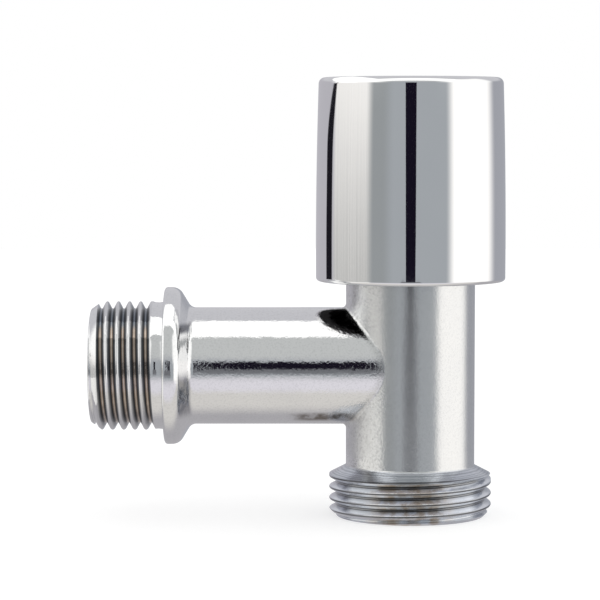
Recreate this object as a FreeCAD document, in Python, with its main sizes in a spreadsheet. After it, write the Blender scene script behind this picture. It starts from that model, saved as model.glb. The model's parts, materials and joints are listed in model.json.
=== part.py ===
import FreeCAD, Part
import math
import os
import re
import Sketcher

# Angle valve for a washing machine: a brass tee body with a wall inlet and a hose outlet,
# a quarter turn ceramic headwork inside it and a plain round knob on top.
# The origin is on the inlet axis in the wall face of the flange; -X goes into the wall, +Z is up.
# Lengths are millimetres and angles are degrees; heights and drops count from the inlet axis.
SIZES = {
    # Valve body
    "stem_offset": 40.0,
    "body_rise": 18.5,
    "outlet_drop": 24.5,
    "outlet_thread_diameter": 26.441,
    "outlet_thread_length": 6.8,
    "outlet_lead": 1.2,
    "outlet_shoulder": 1.4,
    "outlet_root_round": 0.5,
    "outlet_bore": 16.0,
    "seat_drop": 14.5,
    "seat_ledge": 2.5,
    "branch_diameter": 19.0,
    "branch_bore": 12.5,
    "bore_chamfer": 0.5,
    "inlet_thread_diameter": 20.955,
    "inlet_length": 12.0,
    "inlet_lead_length": 1.75,
    "inlet_lead_depth": 1.25,
    "flange_diameter": 25.6,
    "flange_rim": 2.3,
    "flange_slope": 2.0,
    "flange_face_round": 0.3,
    "flange_shoulder_round": 1.8,
    "flange_root_round": 1.3,
    "junction_round": 0.7,
    # Headwork housing
    "headwork_thread_diameter": 16.662,
    "headwork_thread_length": 7.1,
    "headwork_thread_depth": 0.73,
    "thread_clearance": 0.05,
    "thread_relief": 0.3,
    "seat_clearance": 0.05,
    "gland_depth": 2.5,
    "gland_step": 0.569,
    "gland_wall": 1.6,
    "gland_ring_section": 1.5,
    "skirt_gap": 0.3,
    "skirt_wall": 1.1,
    "skirt_lift": 0.6,
    "window_width": 9.4,
    "window_rise": 6.0,
    "ceiling_rise": 10.0,
    "stop_spread": 45.0,
    "stop_margin": 1.0,
    "stop_reach": 1.6,
    "stop_height": 2.7,
    "quarter_turn": 90.0,
    "collar_inset": 0.3,
    "collar_height": 1.5,
    "hex_flats": 17.0,
    "hex_height": 4.5,
    "neck_diameter": 13.0,
    "neck_height": 3.5,
    "neck_chamfer": 0.5,
    # Spindle and what holds it
    "spindle_diameter": 8.0,
    "running_clearance": 0.05,
    "stem_diameter": 6.0,
    "hub_clearance": 0.2,
    "wing_clearance": 0.3,
    "slip_thickness": 0.8,
    "slip_clearance": 0.1,
    "ring_section": 1.2,
    "ring_groove": 1.6,
    "ring_clearance": 0.02,
    "ring_lower_rise": 14.0,
    "ring_upper_rise": 18.5,
    "thrust_thickness": 0.6,
    "thrust_inset": 0.3,
    "clip_thickness": 0.9,
    "clip_width": 2.2,
    "clip_groove_depth": 0.7,
    "clip_opening": 60.0,
    "spline_length": 9.0,
    "spline_depth": 0.5,
    "spline_half_width": 0.46,
    "spline_shift": 0.1,
    "spline_teeth": 20,
    "tip_chamfer": 0.4,
    "bar_inset": 0.8,
    "bar_width": 3.4,
    "bar_height": 2.5,
    "bar_reach": 1.4,
    # Ceramic discs and the seal under them
    "disc_clearance": 0.2,
    "disc_thickness": 3.0,
    "disc_gap": 0.02,
    "port_inner": 4.8,
    "port_outer": 9.2,
    "port_spread": 84.0,
    "key_width": 3.0,
    "key_reach": 0.7,
    "seal_height": 2.5,
    "support_wall": 0.6,
    "support_height": 2.0,
    # Knob
    "knob_overlap": 4.65,
    "knob_height": 33.0,
    "knob_rim_diameter": 30.8,
    "knob_draft": 0.9,
    "knob_crown_radius": 900.0,
    "knob_wall": 2.1,
    "knob_roof": 3.2,
    "knob_top_round": 1.0,
    "knob_rim_round": 0.6,
    "boss_wall": 1.6,
    "web_thickness": 2.0,
    "rib_count": 6,
    "rib_width": 1.2,
    "rib_depth": 5.0,
    "insert_flats": 11.0,
    "insert_length": 8.6,
    "insert_gap": 0.3,
    "cap_diameter": 14.6,
    "cap_thickness": 1.6,
    "cap_air": 0.55,
    "cap_edge": 0.3,
    "cap_wall": 2.2,
    "cap_ring_section": 1.2,
    "cap_ring_groove": 1.4,
    # Knob screw
    "screw_diameter": 4.0,
    "screw_length": 10.0,
    "screw_head_diameter": 7.4,
    "screw_head_height": 2.3,
    "screw_head_round": 0.9,
    "screw_clearance": 0.06,
    "screw_hole_extra": 1.0,
    "web_hole_clearance": 0.2,
    "cross_width": 0.9,
    "cross_length": 4.2,
    "cross_depth": 1.4,
    "lock_washer_width": 1.7,
    "lock_washer_thickness": 0.9,
    "lock_washer_opening": 14.0,
}

# Heights and radii that several pieces share, as expressions of the sizes
SEAT = "(-seat_drop)"
SEAL_TOP = f"({SEAT} + seal_height)"
FIXED_TOP = f"({SEAL_TOP} + disc_thickness)"
MOVING_BASE = f"({FIXED_TOP} + disc_gap)"
MOVING_TOP = f"({MOVING_BASE} + disc_thickness)"
SKIRT_BASE = f"({SEAT} + skirt_lift)"
SLIP_BASE = "(ceiling_rise - slip_thickness)"
HUB_TOP = f"({SLIP_BASE} - running_clearance)"
STOP_BASE = f"({HUB_TOP} - stop_height)"
GLAND_BASE = "(body_rise - gland_depth)"
THREAD_BASE = f"({GLAND_BASE} - headwork_thread_length)"
COLLAR_TOP = "(body_rise + collar_height)"
HEX_TOP = f"({COLLAR_TOP} + hex_height)"
NECK_TOP = f"({HEX_TOP} + neck_height)"
CLIP_BASE = f"({NECK_TOP} + thrust_thickness + running_clearance)"
CLIP_TOP = f"({CLIP_BASE} + clip_thickness)"
RIM_RISE = "(body_rise - knob_overlap)"
KNOB_TOP = f"({RIM_RISE} + knob_height)"
KNOB_CEILING = f"({KNOB_TOP} - knob_roof)"
CAP_BASE = f"({KNOB_TOP} - cap_thickness)"
CAP_RING_RISE = f"({CAP_BASE} - cap_ring_groove / 2)"
SCREW_TOP = f"({CAP_BASE} - cap_air)"
WASHER_TOP = f"({SCREW_TOP} - screw_head_height)"
SCREW_TIP = f"({WASHER_TOP} - screw_length)"
WEB_TOP = f"({WASHER_TOP} - lock_washer_thickness)"
WEB_BASE = f"({WEB_TOP} - web_thickness)"
INSERT_BASE = f"({WEB_BASE} - insert_length)"
SPINDLE_TIP = f"({WEB_BASE} - insert_gap)"
SPLINE_BASE = f"({SPINDLE_TIP} - spline_length)"
THREAD_RADIUS = "(headwork_thread_diameter / 2)"
CHAMBER_RADIUS = f"({THREAD_RADIUS} - headwork_thread_depth)"
GLAND_RADIUS = f"({THREAD_RADIUS} + gland_step)"
GLAND_CORE = f"({GLAND_RADIUS} - gland_ring_section - 2 * ring_clearance)"
BODY_RADIUS = f"({GLAND_RADIUS} + gland_wall)"
SKIRT_RADIUS = f"({CHAMBER_RADIUS} - skirt_gap)"
SKIRT_INNER = f"({SKIRT_RADIUS} - skirt_wall)"
STOP_INNER = f"({SKIRT_INNER} - stop_reach)"
DISC_RADIUS = f"({SKIRT_INNER} - disc_clearance)"
SPINDLE_RADIUS = "(spindle_diameter / 2)"
SPINDLE_BORE = f"({SPINDLE_RADIUS} + running_clearance)"
RING_CORE = f"({SPINDLE_BORE} - ring_section - 2 * ring_clearance)"
CLIP_CORE = f"({SPINDLE_RADIUS} - clip_groove_depth)"
SUPPORT_RADIUS = "(port_outer / 2 + support_wall)"
BAR_LENGTH = f"(2 * {DISC_RADIUS} - 2 * bar_inset)"
KNOB_TOP_RADIUS = "(knob_rim_diameter / 2 - knob_draft / 2)"
CAVITY_RADIUS = "(knob_rim_diameter / 2 - knob_wall)"
RECESS_RADIUS = "(cap_diameter / 2 + seat_clearance)"
CAP_CORE = f"({RECESS_RADIUS} - cap_ring_section - 2 * ring_clearance)"
BOSS_RADIUS = "(insert_flats / sqrt(3) + boss_wall)"
COLUMN_RADIUS = f"({RECESS_RADIUS} + boss_wall)"
SCREW_RADIUS = "(screw_diameter / 2)"
# The wings travel a quarter turn between the two stops
WING_SPREAD = "(180 - stop_spread - quarter_turn - 2 * stop_margin)"
WING_MIDDLE = f"(90 + stop_spread / 2 + stop_margin + {WING_SPREAD} / 2)"
# Two places closer than this count as one when edges are picked
NEAR = 0.005

document = FreeCAD.newDocument("washing_machine_valve")
sheet = document.addObject("Spreadsheet::Sheet", "Sizes")
for row, (alias, number) in enumerate(SIZES.items(), start=1):
    sheet.set(f"A{row}", alias.replace("_", " "))
    sheet.set(f"B{row}", str(number))
    sheet.setAlias(f"B{row}", alias)
document.recompute()


def bound(expression):
    """Writes an expression of sizes as the document's own expression on the sheet."""
    def on_sheet(word):
        return f"Sizes.{word[0]}" if word[0] in SIZES else word[0]
    return re.sub(r"[a-z][a-z_]+", on_sheet, expression)


def measure(expression):
    """The present value of an expression of sizes."""
    return float(sheet.evalExpression(expression))


def tie(thing, **expressions):
    """Binds properties of an object to expressions of sizes; a double underscore stands for a dot."""
    for name, expression in expressions.items():
        thing.setExpression(name.replace("__", "."), bound(expression))


def new_body(label, on_stem=True):
    """A new body, which stands on the stem axis unless it is built in the valve's own frame."""
    body = document.addObject("PartDesign::Body", label)
    if on_stem:
        tie(body, Placement__Base__x="stem_offset")
    return body


def origin_feature(body, role):
    """One of the body's own origin planes or axes."""
    return next(feature for feature in body.Origin.OriginFeatures if feature.Role == role)


def new_sketch(body, name, plane, **offsets):
    """A sketch on one of the body's origin planes, moved along its own axes by bound offsets."""
    sketch = body.newObject("Sketcher::SketchObject", name)
    sketch.AttachmentSupport = (origin_feature(body, plane), "")
    sketch.MapMode = "FlatFace"
    tie(sketch, **{f"AttachmentOffset__Base__{axis}": offset for axis, offset in offsets.items()})
    return sketch


def constrain(sketch, expression, kind, *elements):
    """Adds a constraint whose value is an expression of sizes."""
    index = sketch.addConstraint(Sketcher.Constraint(kind, *elements, measure(expression)))
    sketch.setExpression(f"Constraints[{index}]", bound(expression))


def join(sketch, *elements):
    """Makes two points of a sketch one, each given by its geometry and which of its points it is."""
    sketch.addConstraint(Sketcher.Constraint("Coincident", *elements))


def fix_corner(sketch, geometry, corner):
    """Ties the start point of a side to a pair of coordinate expressions."""
    for kind, axis, expression in zip(("DistanceX", "DistanceY"), (-2, -1), corner):
        if expression == "0":
            sketch.addConstraint(Sketcher.Constraint("PointOnObject", geometry, 1, axis))
        else:
            constrain(sketch, expression, kind, -1, 1, geometry, 1)


def outline(sketch, corners, crowned=None, crown_radius=None):
    """A closed outline through corners, anticlockwise where one side is an arc that bulges outwards."""
    places = [FreeCAD.Vector(measure(x), measure(y), 0) for x, y in corners]
    for index, start in enumerate(places):
        end = places[(index + 1) % len(places)]
        if index == crowned:
            outward = FreeCAD.Vector(end.y - start.y, start.x - end.x, 0).normalize()
            bulge = start.distanceToPoint(end) ** 2 / (8 * measure(crown_radius))
            sketch.addGeometry(Part.Arc(start, (start + end) / 2 + outward * bulge, end))
        else:
            sketch.addGeometry(Part.LineSegment(start, end))
    for index, corner in enumerate(corners):
        join(sketch, index, 2, (index + 1) % len(corners), 1)
        fix_corner(sketch, index, corner)
    if crowned is not None:
        constrain(sketch, crown_radius, "Radius", crowned)


def rectangle(sketch, width, depth):
    """A rectangle about the sketch's origin."""
    right, back = f"{width} / 2", f"{depth} / 2"
    outline(sketch, [(f"-{right}", f"-{back}"), (right, f"-{back}"), (right, back), (f"-{right}", back)])


def hexagon(sketch, flats):
    """A hexagon about the sketch's origin, given across its flats."""
    far, near, back = f"{flats} / sqrt(3)", f"{flats} / sqrt(12)", f"{flats} / 2"
    right_half = [(f"{near}", f"-{back}"), (far, "0"), (near, back)]
    left_half = [(f"-{near}", back), (f"-{far}", "0"), (f"-{near}", f"-{back}")]
    outline(sketch, right_half + left_half)


def circle(sketch, radius):
    """A circle about the sketch's origin."""
    index = sketch.addGeometry(Part.Circle(FreeCAD.Vector(), FreeCAD.Vector(0, 0, 1), measure(radius)))
    join(sketch, index, 3, -1, 1)
    constrain(sketch, radius, "Radius", index)


def sector(sketch, inner, outer, middle, spread):
    """A slice of a ring about the sketch's origin, spread evenly about a middle direction."""
    turns = [f"({middle} - {spread} / 2)", f"({middle} + {spread} / 2)"]
    start, end = (math.radians(measure(turn)) for turn in turns)
    for radius in (inner, outer):
        full = Part.Circle(FreeCAD.Vector(), FreeCAD.Vector(0, 0, 1), measure(radius))
        index = sketch.addGeometry(Part.ArcOfCircle(full, start, end))
        join(sketch, index, 3, -1, 1)
        constrain(sketch, radius, "Radius", index)
    for point, turn, angle in zip((1, 2), turns, (start, end)):
        ray = FreeCAD.Vector(math.cos(angle), math.sin(angle), 0)
        index = sketch.addGeometry(Part.LineSegment(ray * measure(inner), ray * measure(outer)))
        join(sketch, index, 1, 0, point)
        join(sketch, index, 2, 1, point)
        side = sketch.addConstraint(Sketcher.Constraint("Angle", index, angle))
        sketch.setExpression(f"Constraints[{side}]", f"({bound(turn)}) * 1 deg")
        sketch.addConstraint(Sketcher.Constraint("PointOnObject", -1, 1, index))


def turned(body, name, corners, axis="V_Axis", cut=False, crown=(), **offsets):
    """Turns an outline in the XZ plane about one of its sketch's axes, to add or to cut."""
    sketch = new_sketch(body, f"{name}_profile", "XZ_Plane", **offsets)
    outline(sketch, corners, *crown)
    feature = body.newObject("PartDesign::Groove" if cut else "PartDesign::Revolution", name)
    feature.Profile = sketch
    feature.ReferenceAxis = (sketch, [axis])
    feature.Angle = 360
    document.recompute()
    return feature


def raised(body, name, base, top, draw, *shape, cut=False):
    """Pads a level shape between two heights, or pockets it there."""
    sketch = new_sketch(body, f"{name}_outline", "XY_Plane", z=top if cut else base)
    draw(sketch, *shape)
    feature = body.newObject("PartDesign::Pocket" if cut else "PartDesign::Pad", name)
    feature.Profile = sketch
    tie(feature, Length=f"{top} - {base}")
    document.recompute()
    return feature


def cut_across(body, name, plane, half_width, base, top, reach):
    """Pockets an upright rectangle both ways from an upright origin plane, right through the body."""
    sketch = new_sketch(body, f"{name}_outline", plane)
    left = f"-{half_width}"
    outline(sketch, [(left, base), (half_width, base), (half_width, top), (left, top)])
    feature = body.newObject("PartDesign::Pocket", name)
    feature.Profile = sketch
    feature.SideType = "Symmetric"
    tie(feature, Length=f"2 * {reach}")
    document.recompute()
    return feature


def repeated(body, name, feature, count):
    """Repeats a feature evenly round the body's upright axis."""
    pattern = body.newObject("PartDesign::PolarPattern", name)
    pattern.Originals = [feature]
    pattern.Axis = (origin_feature(body, "Z_Axis"), [""])
    pattern.Angle = 360
    tie(pattern, Occurrences=count)
    body.Tip = pattern
    document.recompute()
    return pattern


def circle_at(radius, **centre):
    """Picks the round edges of a radius whose centre has the given coordinates."""
    def picks(edge):
        curve = edge.Curve
        if not isinstance(curve, Part.Circle) or abs(curve.Radius - measure(radius)) > NEAR:
            return False
        return all(abs(getattr(curve.Center, axis) - measure(place)) < NEAR for axis, place in centre.items())
    return picks


def tube_junction(edge):
    """Picks the edge where the branch runs into the upright tube."""
    return all(
        abs(math.hypot(place.x - measure("stem_offset"), place.y) - measure(BODY_RADIUS)) < NEAR
        and abs(math.hypot(place.y, place.z) - measure("branch_diameter / 2")) < NEAR
        for place in edge.discretize(5)
    )


def eased(body, name, size, *tests, chamfer=False):
    """Rounds or chamfers the edges of the body so far that pass one of the tests."""
    base = body.Tip
    edges = [
        f"Edge{number}"
        for number, edge in enumerate(base.Shape.Edges, start=1)
        if any(test(edge) for test in tests)
    ]
    feature = body.newObject("PartDesign::Chamfer" if chamfer else "PartDesign::Fillet", name)
    feature.Base = (base, edges)
    tie(feature, **{"Size" if chamfer else "Radius": size})
    document.recompute()
    return feature


def ring(label, inner, outer, base, top):
    """A plain flat ring on the stem axis."""
    body = new_body(label)
    turned(body, f"{label}_turning", [(inner, base), (outer, base), (outer, top), (inner, top)])


def split_ring(label, inner, outer, base, top, opening):
    """A flat ring on the stem axis that is open on its -X side."""
    body = new_body(label)
    raised(body, f"{label}_blank", base, top, sector, inner, outer, "0", f"(360 - {opening})")


def o_ring(label, core, section, rise):
    """A round rubber ring on the stem axis, given by the radius of the groove that it lies in."""
    torus = document.addObject("Part::Torus", label)
    tie(torus, Radius1=f"{core} + ring_clearance + {section} / 2", Radius2=f"{section} / 2")
    tie(torus, Placement__Base__x="stem_offset", Placement__Base__z=rise)


def make_valve_body():
    """The forged and turned tee: upright tube, branch, wall flange, both pipe threads and the waterway."""
    body = new_body("valve_body", on_stem=False)
    outlet_radius = "(outlet_thread_diameter / 2)"
    inlet_radius = "(inlet_thread_diameter / 2)"
    outlet_end = "(-outlet_drop)"
    shoulder_top = "(outlet_thread_length + outlet_shoulder - outlet_drop)"
    inlet_end = "(-inlet_length)"
    flange_end = "(flange_rim + flange_slope)"
    turned(body, "upright", [
        ("0", outlet_end),
        (f"{outlet_radius} - outlet_lead", outlet_end),
        (outlet_radius, f"{outlet_end} + outlet_lead"),
        (outlet_radius, f"{outlet_end} + outlet_thread_length"),
        (BODY_RADIUS, shoulder_top),
        (BODY_RADIUS, "body_rise"),
        ("0", "body_rise"),
    ], x="stem_offset")
    turned(body, "branch", [
        (inlet_end, "0"),
        ("stem_offset", "0"),
        ("stem_offset", "branch_diameter / 2"),
        (flange_end, "branch_diameter / 2"),
        ("flange_rim", "flange_diameter / 2"),
        ("0", "flange_diameter / 2"),
        ("0", inlet_radius),
        (f"{inlet_end} + inlet_lead_length", inlet_radius),
        (inlet_end, f"{inlet_radius} - inlet_lead_depth"),
    ], axis="H_Axis")
    eased(body, "junction_blend", "junction_round", tube_junction)
    eased(body, "flange_root_blend", "flange_root_round", circle_at("branch_diameter / 2", x=flange_end))
    eased(body, "flange_shoulder", "flange_shoulder_round", circle_at("flange_diameter / 2", x="flange_rim"))
    eased(body, "flange_face_edge", "flange_face_round", circle_at("flange_diameter / 2", x="0"))
    eased(body, "outlet_root_blend", "outlet_root_round", circle_at(BODY_RADIUS, z=shoulder_top))
    thread_hole = f"({THREAD_RADIUS} + thread_clearance)"
    thread_end = f"({THREAD_BASE} - thread_relief)"
    ledge_base = f"({SEAT} - seat_ledge)"
    turned(body, "upright_waterway", [
        ("0", outlet_end),
        ("outlet_bore / 2", outlet_end),
        ("outlet_bore / 2", ledge_base),
        ("port_outer / 2", ledge_base),
        ("port_outer / 2", SEAT),
        (CHAMBER_RADIUS, SEAT),
        (CHAMBER_RADIUS, thread_end),
        (thread_hole, thread_end),
        (thread_hole, GLAND_BASE),
        (GLAND_RADIUS, GLAND_BASE),
        (GLAND_RADIUS, "body_rise"),
        ("0", "body_rise"),
    ], cut=True, x="stem_offset")
    turned(body, "branch_waterway", [
        (inlet_end, "0"),
        ("stem_offset", "0"),
        ("stem_offset", "branch_bore / 2"),
        (inlet_end, "branch_bore / 2"),
    ], axis="H_Axis", cut=True)
    inlet_mouth = circle_at("branch_bore / 2", x=inlet_end)
    outlet_mouth = circle_at("outlet_bore / 2", z=outlet_end)
    eased(body, "bore_mouths", "bore_chamfer", inlet_mouth, outlet_mouth, chamfer=True)


def make_headwork_bonnet():
    """The brass headwork housing: windowed skirt, thread, hexagon, neck and the two inner stops."""
    body = new_body("headwork_bonnet")
    collar_radius = f"({BODY_RADIUS} - collar_inset)"
    turned(body, "blank", [
        ("0", SKIRT_BASE),
        (SKIRT_RADIUS, SKIRT_BASE),
        (SKIRT_RADIUS, THREAD_BASE),
        (THREAD_RADIUS, THREAD_BASE),
        (THREAD_RADIUS, GLAND_BASE),
        (GLAND_CORE, GLAND_BASE),
        (GLAND_CORE, "body_rise"),
        (collar_radius, "body_rise"),
        (collar_radius, COLLAR_TOP),
        ("neck_diameter / 2", COLLAR_TOP),
        ("neck_diameter / 2", NECK_TOP),
        ("0", NECK_TOP),
    ])
    raised(body, "spanner_hexagon", COLLAR_TOP, HEX_TOP, hexagon, "hex_flats")
    turned(body, "inner_bores", [
        ("0", SKIRT_BASE),
        (SKIRT_INNER, SKIRT_BASE),
        (SKIRT_INNER, "ceiling_rise"),
        (SPINDLE_BORE, "ceiling_rise"),
        (SPINDLE_BORE, NECK_TOP),
        ("0", NECK_TOP),
    ], cut=True)
    cut_across(body, "windows", "YZ_Plane", "window_width / 2", MOVING_TOP, "window_rise", SKIRT_RADIUS)
    notch = "(key_width / 2 + seat_clearance)"
    cut_across(body, "key_notches", "XZ_Plane", notch, SKIRT_BASE, FIXED_TOP, SKIRT_RADIUS)
    stop_outer = f"({SKIRT_INNER} + skirt_wall / 2)"
    stop = raised(body, "stop", STOP_BASE, HUB_TOP, sector, STOP_INNER, stop_outer, "90", "stop_spread")
    repeated(body, "stops", stop, "2")
    eased(body, "neck_edge", "neck_chamfer", circle_at("neck_diameter / 2", z=NECK_TOP), chamfer=True)


def make_spindle():
    """The turned spindle: driving bar, stop wings, sealing grooves, clip groove and splined end."""
    body = new_body("spindle")
    hub_radius = f"({STOP_INNER} - hub_clearance)"
    bar_base = f"({MOVING_TOP} - bar_reach)"
    bar_top = f"({MOVING_TOP} + bar_height)"
    hole_radius = f"({SCREW_RADIUS} + screw_clearance)"
    hole_end = f"({SCREW_TIP} - screw_hole_extra)"
    grooves = []
    for rise in ("ring_lower_rise", "ring_upper_rise"):
        low, high = f"({rise} - ring_groove / 2)", f"({rise} + ring_groove / 2)"
        grooves += [(SPINDLE_RADIUS, low), (RING_CORE, low), (RING_CORE, high), (SPINDLE_RADIUS, high)]
    turned(body, "shaft", [
        ("0", bar_top),
        ("stem_diameter / 2", bar_top),
        ("stem_diameter / 2", STOP_BASE),
        (hub_radius, STOP_BASE),
        (hub_radius, HUB_TOP),
        (SPINDLE_RADIUS, HUB_TOP),
        *grooves,
        (SPINDLE_RADIUS, CLIP_BASE),
        (CLIP_CORE, CLIP_BASE),
        (CLIP_CORE, f"{CLIP_TOP} + seat_clearance"),
        (SPINDLE_RADIUS, f"{CLIP_TOP} + seat_clearance"),
        (SPINDLE_RADIUS, f"{SPINDLE_TIP} - tip_chamfer"),
        (f"{SPINDLE_RADIUS} - tip_chamfer", SPINDLE_TIP),
        (hole_radius, SPINDLE_TIP),
        (hole_radius, hole_end),
        ("0", hole_end),
    ])
    raised(body, "driving_bar", bar_base, bar_top, rectangle, BAR_LENGTH, "bar_width")
    wing_outer = f"({SKIRT_INNER} - wing_clearance)"
    wing_inner = f"({hub_radius} / 2)"
    wing = raised(body, "wing", STOP_BASE, HUB_TOP, sector, wing_inner, wing_outer, WING_MIDDLE, WING_SPREAD)
    repeated(body, "wings", wing, "2")
    groove = raised(body, "spline_groove", SPLINE_BASE, SPINDLE_TIP, outline, spline_tooth("0"), cut=True)
    repeated(body, "spline", groove, "spline_teeth")


def spline_tooth(shift):
    """The outline of one spline groove, or with a shift outwards of the tooth that fits in it."""
    root = f"({SPINDLE_RADIUS} - spline_depth + {shift})"
    mouth = f"({SPINDLE_RADIUS} + spline_depth + {shift})"
    return [(root, "0"), (mouth, "-2 * spline_half_width"), (mouth, "2 * spline_half_width")]


def make_discs():
    """The two ceramic discs, shut when their ports stand across each other."""
    port = ("port_inner / 2", "port_outer / 2")
    fixed = new_body("fixed_ceramic_disc")
    raised(fixed, "fixed_blank", SEAL_TOP, FIXED_TOP, circle, DISC_RADIUS)
    key_length = f"(2 * {SKIRT_INNER} + 2 * key_reach)"
    raised(fixed, "keys", SEAL_TOP, FIXED_TOP, rectangle, "key_width", key_length)
    cut = raised(fixed, "fixed_port", SEAL_TOP, FIXED_TOP, sector, *port, "0", "port_spread", cut=True)
    repeated(fixed, "fixed_ports", cut, "2")
    moving = new_body("moving_ceramic_disc")
    raised(moving, "moving_blank", MOVING_BASE, MOVING_TOP, circle, DISC_RADIUS)
    cut = raised(moving, "moving_port", MOVING_BASE, MOVING_TOP, sector, *port, "90", "port_spread", cut=True)
    repeated(moving, "moving_ports", cut, "2")
    slot_floor = f"({MOVING_TOP} - bar_reach - seat_clearance)"
    slot = (f"({BAR_LENGTH} + 2 * seat_clearance)", "(bar_width + 2 * seat_clearance)")
    raised(moving, "bar_slot", slot_floor, MOVING_TOP, rectangle, *slot, cut=True)


def make_handle_knob():
    """The hollow knob: crowned outside, ribbed boss with a six sided socket, recess for screw and cap."""
    body = new_body("handle_knob")
    step = f"({WEB_BASE} - boss_wall)"
    web_hole = f"({SCREW_RADIUS} + web_hole_clearance)"
    rim_side = 7
    turned(body, "shell", [
        (web_hole, INSERT_BASE),
        (BOSS_RADIUS, INSERT_BASE),
        (BOSS_RADIUS, step),
        (COLUMN_RADIUS, step),
        (COLUMN_RADIUS, KNOB_CEILING),
        (CAVITY_RADIUS, KNOB_CEILING),
        (CAVITY_RADIUS, RIM_RISE),
        ("knob_rim_diameter / 2", RIM_RISE),
        (KNOB_TOP_RADIUS, KNOB_TOP),
        (RECESS_RADIUS, KNOB_TOP),
        (RECESS_RADIUS, WEB_TOP),
        (web_hole, WEB_TOP),
    ], crown=(rim_side, "knob_crown_radius"))
    eased(body, "top_edge", "knob_top_round", circle_at(KNOB_TOP_RADIUS, z=KNOB_TOP))
    eased(body, "rim_edge", "knob_rim_round", circle_at("knob_rim_diameter / 2", z=RIM_RISE))
    eased(body, "recess_edge", "cap_edge", circle_at(RECESS_RADIUS, z=KNOB_TOP), chamfer=True)
    rib_base = f"({KNOB_CEILING} - rib_depth)"
    rib_start, rib_end = f"({COLUMN_RADIUS} - boss_wall / 2)", f"({CAVITY_RADIUS} + knob_wall / 3)"
    half = "rib_width / 2"
    rib_corners = [(rib_start, f"-{half}"), (rib_end, f"-{half}"), (rib_end, half), (rib_start, half)]
    rib = raised(body, "rib", rib_base, KNOB_CEILING, outline, rib_corners)
    repeated(body, "ribs", rib, "rib_count")
    socket = "(insert_flats + 2 * seat_clearance)"
    raised(body, "insert_socket", INSERT_BASE, WEB_BASE, hexagon, socket, cut=True)


def make_spline_insert():
    """The moulded insert that carries the knob on the splined spindle."""
    body = new_body("spline_insert")
    raised(body, "insert_blank", INSERT_BASE, WEB_BASE, hexagon, "insert_flats")
    raised(body, "insert_bore", INSERT_BASE, WEB_BASE, circle, SPINDLE_BORE, cut=True)
    tooth = raised(body, "insert_tooth", INSERT_BASE, SPINDLE_TIP, outline, spline_tooth("spline_shift"))
    repeated(body, "insert_teeth", tooth, "spline_teeth")


def make_handle_screw():
    """The cross headed screw that draws the knob down on the spindle."""
    body = new_body("handle_screw")
    turned(body, "screw_blank", [
        ("0", SCREW_TIP),
        (SCREW_RADIUS, SCREW_TIP),
        (SCREW_RADIUS, WASHER_TOP),
        ("screw_head_diameter / 2", WASHER_TOP),
        ("screw_head_diameter / 2", SCREW_TOP),
        ("0", SCREW_TOP),
    ])
    eased(body, "head_edge", "screw_head_round", circle_at("screw_head_diameter / 2", z=SCREW_TOP))
    cross = (f"({SCREW_TOP} - cross_depth)", SCREW_TOP, rectangle)
    raised(body, "cross_slot", *cross, "cross_length", "cross_width", cut=True)
    raised(body, "cross_slot_across", *cross, "cross_width", "cross_length", cut=True)


def make_top_cap():
    """The flush cap over the screw, with a groove for the ring that grips it."""
    body = new_body("top_cap")
    groove_base = f"({CAP_RING_RISE} - cap_ring_groove / 2)"
    groove_top = f"({CAP_RING_RISE} + cap_ring_groove / 2)"
    inner = "(cap_diameter / 2 - cap_wall)"
    turned(body, "cap_turning", [
        ("0", CAP_BASE),
        (inner, CAP_BASE),
        (inner, WEB_TOP),
        ("cap_diameter / 2", WEB_TOP),
        ("cap_diameter / 2", groove_base),
        (CAP_CORE, groove_base),
        (CAP_CORE, groove_top),
        ("cap_diameter / 2", groove_top),
        ("cap_diameter / 2", KNOB_TOP),
        ("0", KNOB_TOP),
    ])
    eased(body, "cap_rim", "cap_edge", circle_at("cap_diameter / 2", z=KNOB_TOP), chamfer=True)


def write_pieces():
    """Checks every object of the document, then writes each labelled piece to its own file."""
    failed = [thing.Label for thing in document.Objects if {"Invalid", "Error"} & set(thing.State)]
    pieces = [thing for thing in document.Objects if thing.TypeId in ("PartDesign::Body", "Part::Torus")]
    failed += [piece.Label for piece in pieces if piece.Shape.isNull() or not piece.Shape.isValid()]
    if failed:
        raise RuntimeError(f"These did not build: {failed}")
    os.makedirs("parts", exist_ok=True)
    for piece in pieces:
        piece.Shape.exportStep(os.path.join("parts", f"{piece.Label}.step"))
        print(f"{piece.Label}: {piece.Shape.Volume:.1f} mm3 in {len(piece.Shape.Solids)} solid")


make_valve_body()
make_headwork_bonnet()
o_ring("bonnet_o_ring", GLAND_CORE, "gland_ring_section", "(body_rise - gland_depth / 2)")
make_spindle()
o_ring("spindle_o_ring_lower", RING_CORE, "ring_section", "ring_lower_rise")
o_ring("spindle_o_ring_upper", RING_CORE, "ring_section", "ring_upper_rise")
ring("spindle_slip_washer", f"({SPINDLE_BORE} + slip_clearance)", f"({SKIRT_INNER} - slip_clearance)",
     SLIP_BASE, "ceiling_rise")
ring("thrust_washer", f"({SPINDLE_BORE} + slip_clearance)", "(neck_diameter / 2 - thrust_inset)",
     NECK_TOP, f"({NECK_TOP} + thrust_thickness)")
split_ring("spindle_circlip", f"({CLIP_CORE} + seat_clearance)", f"({CLIP_CORE} + clip_width)",
           CLIP_BASE, CLIP_TOP, "clip_opening")
make_discs()
ring("seat_seal", f"({SUPPORT_RADIUS} + ring_clearance)", f"({SKIRT_INNER} - seat_clearance)", SEAT, SEAL_TOP)
ring("seal_support_ring", "(port_outer / 2)", SUPPORT_RADIUS, f"({SEAL_TOP} - support_height)", SEAL_TOP)
make_handle_knob()
make_spline_insert()
split_ring("screw_lock_washer", f"({SCREW_RADIUS} + screw_clearance)",
           f"({SCREW_RADIUS} + lock_washer_width)", WEB_TOP, WASHER_TOP, "lock_washer_opening")
make_handle_screw()
make_top_cap()
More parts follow.
